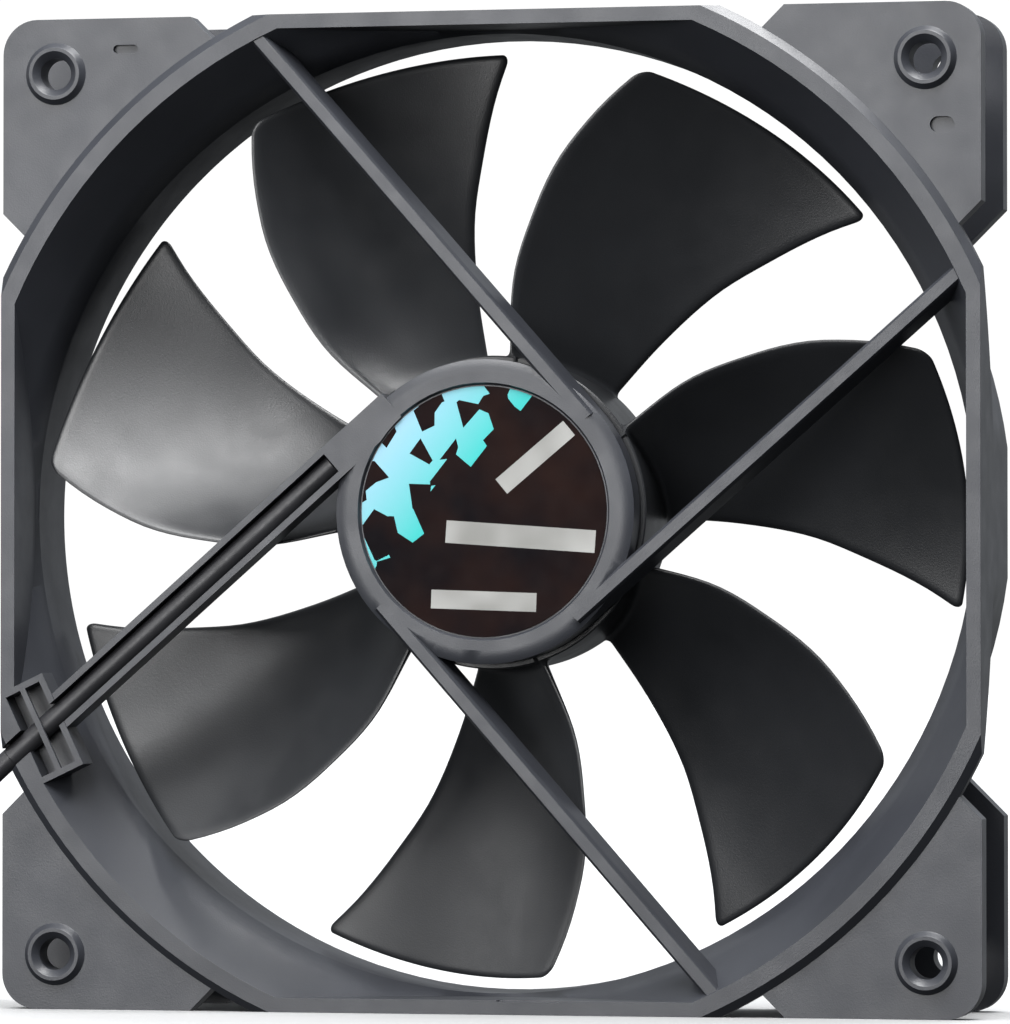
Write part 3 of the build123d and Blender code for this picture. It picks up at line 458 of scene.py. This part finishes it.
# ================================================================ impeller
def station_at(height):
    """A station's five other values at any height, by cubic curves through the given ones."""
    rows = BLADE_STATIONS
    last = len(rows) - 2
    index = min(max(sum(height >= row[0] for row in rows) - 1, 0), last)
    before, low, high, after = (rows[max(index - 1, 0)], rows[index], rows[index + 1],
                                rows[min(index + 2, len(rows) - 1)])
    span = high[0] - low[0]
    t = (height - low[0]) / span
    from_low, from_high = 2 * t ** 3 - 3 * t ** 2 + 1, 3 * t ** 2 - 2 * t ** 3
    slope_low, slope_high = t ** 3 - 2 * t ** 2 + t, t ** 3 - t ** 2
    values = []
    for k in range(1, 6):
        start = (high[k] - before[k]) / (high[0] - before[0]) * span
        end = (after[k] - low[k]) / (after[0] - low[0]) * span
        values.append(from_low * low[k] + slope_low * start + from_high * high[k] + slope_high * end)
    return values


def rounded(distance, reach):
    """Share of full thickness this far in from an edge rounded over reach."""
    t = min(1.0, max(0.0, distance / reach))
    return math.sqrt(1 - (1 - t) ** 2)


def blade_point(height, share, side, tip_gap):
    """Point of a blade's skin in its own span frame: along the span, across it, and depth."""
    lead_x, trail_x, lead_y, trail_y, thick = station_at(height)
    lead = Vector((lead_x, -lead_y))
    chord = Vector((trail_x, -trail_y)) - lead
    long = chord.length
    along = chord / long
    rise = Vector((along.y, -along.x))
    nose, tail = thick * NOSE_SHARE, thick * TAIL_SHARE
    inset = 0.0
    if tip_gap < TIP_CORNER:
        inset = TIP_CORNER - math.sqrt(TIP_CORNER ** 2 - (TIP_CORNER - tip_gap) ** 2)
    first, last = inset - nose, long + tail - inset
    s = first + share * (last - first)
    t = s / long
    half = nose * (1 - t) * (1 - 2 * t) + 2 * thick * t * (1 - t) + tail * t * (2 * t - 1)
    half *= rounded(s - first, NOSE_ROUND) * rounded(last - s, NOSE_ROUND)
    half *= rounded(tip_gap, TIP_ROUND)
    root_gap = TIP_R - tip_gap - HUB_R
    if root_gap < ROOT_FILLET:
        q = max(0.0, root_gap / ROOT_FILLET)
        half += ROOT_FILLET * (1 - math.sqrt(1 - (1 - q) ** 2))
    spot = lead + along * s + rise * (4 * CAMBER * long * t * (1 - t) + side * half)
    return height, spot.x, -spot.y


def on_circle(radius, share, side):
    """The skin's point at this distance from the rotor's axis, found by halving."""
    low, high = SPAN_SEARCH
    for _ in range(HALVINGS):
        middle = (low + high) / 2
        height, across, _depth = blade_point(middle, share, side, TIP_R - radius)
        if math.hypot(height, across) < radius:
            low = middle
        else:
            high = middle
    return blade_point((low + high) / 2, share, side, TIP_R - radius)


def spaced_shares(count, sharp):
    """Shares from 0 to 1, closer together near both ends."""
    return [(1 - sharp) * k / count + sharp * (1 - math.cos(math.pi * k / count)) / 2
            for k in range(count + 1)]


def blade_skin():
    """Rings of a blade's points from root to tip, each at one distance from the rotor's axis."""
    shares = spaced_shares(CHORD_STEPS, EDGE_CROWDING)
    loop = [(share, 1) for share in shares] + [(share, -1) for share in shares[-2:0:-1]]
    fillet_end = HUB_R + ROOT_FILLET
    corner_start = TIP_R - TIP_CORNER
    radii = [ROOT_R, HUB_R] + [HUB_R + step for step in FILLET_STEPS] + [fillet_end]
    radii += [fillet_end + (corner_start - fillet_end) * k / BLADE_RINGS
              for k in range(1, BLADE_RINGS + 1)]
    radii += [TIP_R - TIP_CORNER * (1 - share) for share in CORNER_SHARES]
    return [[on_circle(radius, share, side) for share, side in loop] for radius in radii]


def add_rings(mesh, rings):
    """Faces between each ring of vertices and the next."""
    for first, second in zip(rings, rings[1:]):
        for k in range(len(first)):
            n = (k + 1) % len(first)
            mesh.faces.new((first[k], first[n], second[n], second[k]))


def add_blade(mesh, skin, angle):
    """One blade whose span points at this angle; the tip's last ring closes on itself."""
    turn = math.radians(angle)
    out, run = (math.cos(turn), math.sin(turn)), (-math.sin(turn), math.cos(turn))
    rings = [[mesh.verts.new(((h * out[0] + x * run[0]) * MM, y * MM, (h * out[1] + x * run[1]) * MM))
              for h, x, y in ring] for ring in skin]
    add_rings(mesh, rings)
    mesh.faces.new(rings[0])


def add_hub(mesh):
    """The hub's profile turned about the rotor's axis."""
    angles = [2 * math.pi * k / HUB_STEPS for k in range(HUB_STEPS)]
    rings = [[mesh.verts.new((r * MM * math.cos(a), y * MM, r * MM * math.sin(a))) for a in angles]
             for r, y in HUB_PROFILE]
    add_rings(mesh, rings)
    mesh.faces.new(rings[-1])
    mesh.faces.new(rings[0])


def build_impeller():
    """Hub and seven sickle blades with rounded edges, corners and roots."""
    mesh = bmesh.new()
    skin = blade_skin()
    for blade in range(BLADES):
        add_blade(mesh, skin, BLADE_AXIS - 360 / BLADES * blade)
    add_hub(mesh)
    bmesh.ops.remove_doubles(mesh, verts=mesh.verts, dist=WELD_GAP)
    bmesh.ops.dissolve_degenerate(mesh, edges=mesh.edges, dist=WELD_GAP)
    bmesh.ops.recalc_face_normals(mesh, faces=mesh.faces)
    for edge in mesh.edges:
        if len(edge.link_faces) == 2 and edge.calc_face_angle(0) > math.radians(SHARP_ANGLE):
            edge.smooth = False
    data = bpy.data.meshes.new("impeller_moulding")
    mesh.to_mesh(data)
    mesh.free()
    data.polygons.foreach_set("use_smooth", [True] * len(data.polygons))
    impeller = link(bpy.data.objects.new("impeller_moulding", data))
    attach(impeller, "rotor")
    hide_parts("impeller")
    return impeller


# ================================================================ finish of the CAD nodes
def round_edges(node, width, segments):
    """Moulded or broken edges, by modifiers only."""
    weld = node.modifiers.new("weld", "WELD")
    weld.merge_threshold = WELD_GAP
    flat = node.modifiers.new("flat_faces", "DECIMATE")
    flat.decimate_type = "DISSOLVE"
    flat.angle_limit = math.radians(FLAT_ANGLE)
    bevel = node.modifiers.new("edge", "BEVEL")
    bevel.width = width
    bevel.segments = segments
    bevel.limit_method = "ANGLE"
    bevel.angle_limit = math.radians(EDGE_ANGLE)
    bevel.miter_outer = "MITER_ARC"
    bevel.use_clamp_overlap = True
    shade = node.modifiers.new("shading", "WEIGHTED_NORMAL")
    shade.keep_sharp = True
    node.data.polygons.foreach_set("use_smooth", [True] * len(node.data.polygons))


def wound(name, axis):
    """Enamelled copper wire wound in even turns along one axis, with painted shade in the grooves
    between turns.
    """
    paint = Paint(name, (0.62, 0.22, 0.075), 0.3, metal=0.85, Coat_Weight=0.5, Coat_Roughness=0.15)
    turns = paint.node("ShaderNodeTexWave", bands_direction=axis)
    turns.inputs["Scale"].default_value = WAVE_PERIOD / (0.36 * MM)    # 0.36 mm a turn
    turns.inputs["Distortion"].default_value = 0.4
    turns.inputs["Detail"].default_value = 1.0
    turns.inputs["Detail Scale"].default_value = 0.3
    paint.join(paint.coords, turns.inputs["Vector"])
    # painted shade: the copper colour is made darker in the grooves between turns, where the bump
    # sinks
    paint.colour(paint.blend(turns.outputs["Fac"], (0.20, 0.055, 0.018), (0.72, 0.27, 0.09)))
    paint.rough(paint.remap(paint.noise(1.5 * MM, 3), 0.24, 0.42))
    paint.bump(turns.outputs["Fac"], 0.16 * MM)
    return paint.material


def laminated(name, colour):
    """Stack of punched steel sheets, seen on its edges."""
    paint = Paint(name, colour, 0.42, metal=0.9)
    sheets = paint.node("ShaderNodeTexWave", bands_direction="Y")
    sheets.inputs["Scale"].default_value = WAVE_PERIOD / (0.5 * MM)    # 0.5 mm a sheet
    sheets.inputs["Distortion"].default_value = 0.0
    paint.join(paint.coords, sheets.inputs["Vector"])
    stain = paint.noise(2.2 * MM, 4)
    paint.colour(paint.blend(paint.remap(stain, 0, 1), scaled(colour, 0.7), scaled(colour, 1.15)))
    paint.rough(paint.remap(stain, 0.36, 0.55))
    paint.bump(sheets.outputs["Fac"], 0.05 * MM)
    return paint.material


def circuit_board():
    """Green solder mask that shows the copper tracks under it."""
    paint = Paint("board_laminate", (0.02, 0.11, 0.05), 0.32, Coat_Weight=0.4, Coat_Roughness=0.12)
    tracks = paint.node("ShaderNodeTexVoronoi", feature="DISTANCE_TO_EDGE", distance="EUCLIDEAN")
    tracks.inputs["Scale"].default_value = 1 / (2.6 * MM)
    paint.join(paint.coords, tracks.inputs["Vector"])
    copper = paint.remap(tracks.outputs["Distance"], 1, 0, 0.06, 0.09)
    paint.colour(paint.blend(copper, (0.012, 0.075, 0.032), (0.03, 0.17, 0.07)))
    paint.rough(paint.remap(paint.noise(0.5 * MM, 2), 0.26, 0.38))
    paint.bump(copper, 0.03 * MM)
    return paint.material


def ferrite():
    """Sintered magnet, dark grey and matt."""
    paint = Paint("magnet_ferrite", (0.045, 0.042, 0.042), 0.62)
    grains = paint.noise(0.6 * MM, 5)
    paint.colour(paint.blend(paint.remap(grains, 0, 1), (0.028, 0.027, 0.028), (0.075, 0.07, 0.068)))
    paint.rough(paint.remap(grains, 0.5, 0.75))
    paint.bump(grains, 0.02 * MM)
    return paint.material


def sintered():
    """Pressed bronze powder, porous and oily."""
    paint = Paint("sintered_bronze", (0.42, 0.27, 0.12), 0.4, metal=0.9, Coat_Weight=0.3)
    pores = paint.node("ShaderNodeTexVoronoi")
    pores.inputs["Scale"].default_value = 1 / (0.16 * MM)
    paint.join(paint.coords, pores.inputs["Vector"])
    paint.colour(paint.blend(pores.outputs["Distance"], (0.2, 0.12, 0.05), (0.5, 0.33, 0.15)))
    paint.rough(paint.remap(paint.noise(1.2 * MM, 3), 0.3, 0.5))
    paint.bump(pores.outputs["Distance"], 0.03 * MM)
    return paint.material


def label_mask(paint, across, up, bar):
    """One where a printed bar lies: its middle, length, height and slant, in label radii."""
    middle_x, middle_z, long, tall, slant = bar
    turn = math.radians(slant)
    x = paint.combine("SUBTRACT", across, middle_x)
    z = paint.combine("SUBTRACT", up, middle_z)
    along = paint.combine("ADD", paint.combine("MULTIPLY", x, math.cos(turn)),
                          paint.combine("MULTIPLY", z, math.sin(turn)))
    over = paint.combine("SUBTRACT", paint.combine("MULTIPLY", z, math.cos(turn)),
                         paint.combine("MULTIPLY", x, math.sin(turn)))
    inside_long = paint.combine("LESS_THAN", paint.combine("ABSOLUTE", along), long / 2)
    inside_tall = paint.combine("LESS_THAN", paint.combine("ABSOLUTE", over), tall / 2)
    return paint.combine("MULTIPLY", inside_long, inside_tall)


def label():
    """Dark glossy disc with plain pale facets at one side and three plain silver bars."""
    paint = Paint("label_film", (0.010, 0.006, 0.006), 0.3, Specular_IOR_Level=0.02)
    split = paint.node("ShaderNodeSeparateXYZ")
    paint.join(paint.coords, split.inputs[0])
    across = paint.combine("DIVIDE", split.outputs["X"], LABEL_R)
    up = paint.combine("DIVIDE", split.outputs["Z"], LABEL_R)
    slope = paint.combine("SUBTRACT", paint.combine("MULTIPLY", up, FACET_LEAN[0]),
                          paint.combine("MULTIPLY", across, FACET_LEAN[1]))
    cells = paint.node("ShaderNodeTexVoronoi", distance="EUCLIDEAN")
    cells.inputs["Scale"].default_value = 1 / FACET_SIZE
    paint.join(paint.coords, cells.inputs["Vector"])
    tone = paint.node("ShaderNodeSeparateXYZ")
    paint.join(cells.outputs["Color"], tone.inputs[0])
    reach = paint.combine("ADD", slope, paint.combine("MULTIPLY", tone.outputs["X"], FACET_RAGGED))
    pale = paint.combine("MULTIPLY", paint.combine("GREATER_THAN", reach, FACET_START),
                         paint.combine("GREATER_THAN", tone.outputs["Y"], FACET_GAPS))
    warm = paint.remap(paint.noise(9 * MM, 2), 0, 1)
    ground = paint.blend(warm, (0.003, 0.002, 0.003), (0.012, 0.005, 0.004))
    facets = paint.blend(paint.remap(slope, 0, 1, 0.3, 0.95), (0.05, 0.42, 0.40), (0.26, 0.46, 0.56))
    painted = paint.blend(pale, ground, facets)
    silver = paint.blend(paint.remap(paint.noise(7 * MM, 1), 0, 1), (0.22, 0.22, 0.21),
                         (0.34, 0.34, 0.33))
    for bar in LABEL_BARS:
        painted = paint.blend(label_mask(paint, across, up, bar), painted, silver)
    paint.colour(painted)
    paint.rough(paint.remap(paint.noise(3 * MM, 3), 0.24, 0.36))
    paint.bump(paint.noise(2.4 * MM, 2), 0.02 * MM)
    return paint.material


def sleeve():
    """Satin extruded jacket of the lead, faintly drawn along its run."""
    paint = Paint("lead_sleeve", (0.020, 0.020, 0.022), 0.42)
    drawn = paint.noise(0.5 * MM, 3)
    paint.colour(paint.blend(paint.remap(paint.noise(9 * MM, 2), 0, 1), (0.016, 0.016, 0.018),
                             (0.028, 0.028, 0.031)))
    paint.rough(paint.remap(drawn, 0.36, 0.5))
    paint.bump(drawn, 0.012 * MM)
    return paint.material


def finish_nodes():
    """Material and rounding of every CAD node that shows; returns the lead's material."""
    black = plastic("frame_plastic", FRAME_COLOUR, 0.40)
    copper = {"X": wound("winding_copper_x", "X"), "Z": wound("winding_copper_z", "Z")}
    pale_nylon = plastic("insulator_plastic", (0.55, 0.53, 0.47), 0.45)
    tin = metal("terminal_tin", (0.72, 0.71, 0.68), 0.3)
    solder = metal("solder", (0.66, 0.66, 0.68), 0.28, size=0.9 * MM)
    steel = metal("shaft_steel", (0.60, 0.61, 0.63), 0.22, (1, 40, 1))
    brass = metal("brass", (0.72, 0.52, 0.22), 0.3, (1, 12, 1))
    jacket = sleeve()
    wires = plastic("wire_black", (0.018, 0.018, 0.019), 0.38, 0.5 * MM)
    washer = plastic("washer_nylon", (0.72, 0.70, 0.64), 0.4)
    looks = {                  # material, width of the rounded edge
        "frame": (black, 0.42 * MM),
        "base_label": (label(), 0.03 * MM),
        "bearing_tube": (brass, 0.12 * MM),
        "thrust_pad": (washer, 0.08 * MM),
        "oil_ring": (washer, 0.06 * MM),
        "wear_washer": (washer, 0.06 * MM),
        "split_washer": (washer, 0.05 * MM),
        "sleeve_bearing": (sintered(), 0.06 * MM),
        "stator_core": (laminated("core_steel", (0.40, 0.40, 0.42)), 0.06 * MM),
        "insulator_exhaust": (pale_nylon, 0.12 * MM),
        "insulator_intake": (pale_nylon, 0.12 * MM),
        "coil_1": (copper["X"], 0.25 * MM),
        "coil_2": (copper["Z"], 0.25 * MM),
        "coil_3": (copper["X"], 0.25 * MM),
        "coil_4": (copper["Z"], 0.25 * MM),
        "circuit_board": (circuit_board(), 0.05 * MM),
        "coil_pins": (solder, 0.06 * MM),
        "solder_joints": (solder, 0.3 * MM),
        "driver_chip": (plastic("chip_epoxy", (0.02, 0.02, 0.021), 0.5, 0.12 * MM), 0.06 * MM),
        "board_capacitors": (plastic("component_ceramic", (0.42, 0.30, 0.19), 0.35), 0.12 * MM),
        "board_resistors": (plastic("resistor_body", (0.03, 0.03, 0.034), 0.3), 0.06 * MM),
        "inner_wires": (wires, 0),
        "lead_in_strut": (jacket, 0.1 * MM),
        "lead_tails": (wires, 0),
        "lead_shrink": (plastic("shrink_black", (0.017, 0.017, 0.018), 0.3, 0.8 * MM), 0.15 * MM),
        "coil_tie": (plastic("tie_plastic", (0.022, 0.022, 0.024), 0.35), 0.15 * MM),
        "connector_housing": (plastic("connector_plastic", (0.020, 0.020, 0.022), 0.4), 0.15 * MM),
        "connector_terminals": (tin, 0.05 * MM),
        "rotor_yoke": (metal("yoke_steel", (0.50, 0.51, 0.52), 0.34, (1, 6, 1), 0.8 * MM), 0.1 * MM),
        "magnet_ring": (ferrite(), 0.12 * MM),
        "shaft_insert": (brass, 0.05 * MM),
        "shaft": (steel, 0.05 * MM),
    }
    for name, (material, edge) in looks.items():
        node = nodes[name]
        node.data.materials.clear()
        node.data.materials.append(material)
        if edge:
            round_edges(node, edge, FRAME_EDGE_SEGMENTS if name == "frame" else EDGE_SEGMENTS)
    return jacket


floor = make_stage()
make_camera()
make_world()
make_lights(floor)
cord = build_cord()
jacket = finish_nodes()
cord.data.materials.append(jacket)
impeller = build_impeller()
impeller.data.materials.append(plastic("impeller_plastic", IMPELLER_COLOUR, 0.38))
for name in ("lead_free", "lead_coil", "lead_tail", "impeller"):     # replaced, so never seen
    nodes[name].data.materials.clear()
    nodes[name].data.materials.append(jacket)
bpy.context.scene.view_settings.view_transform = "Standard"
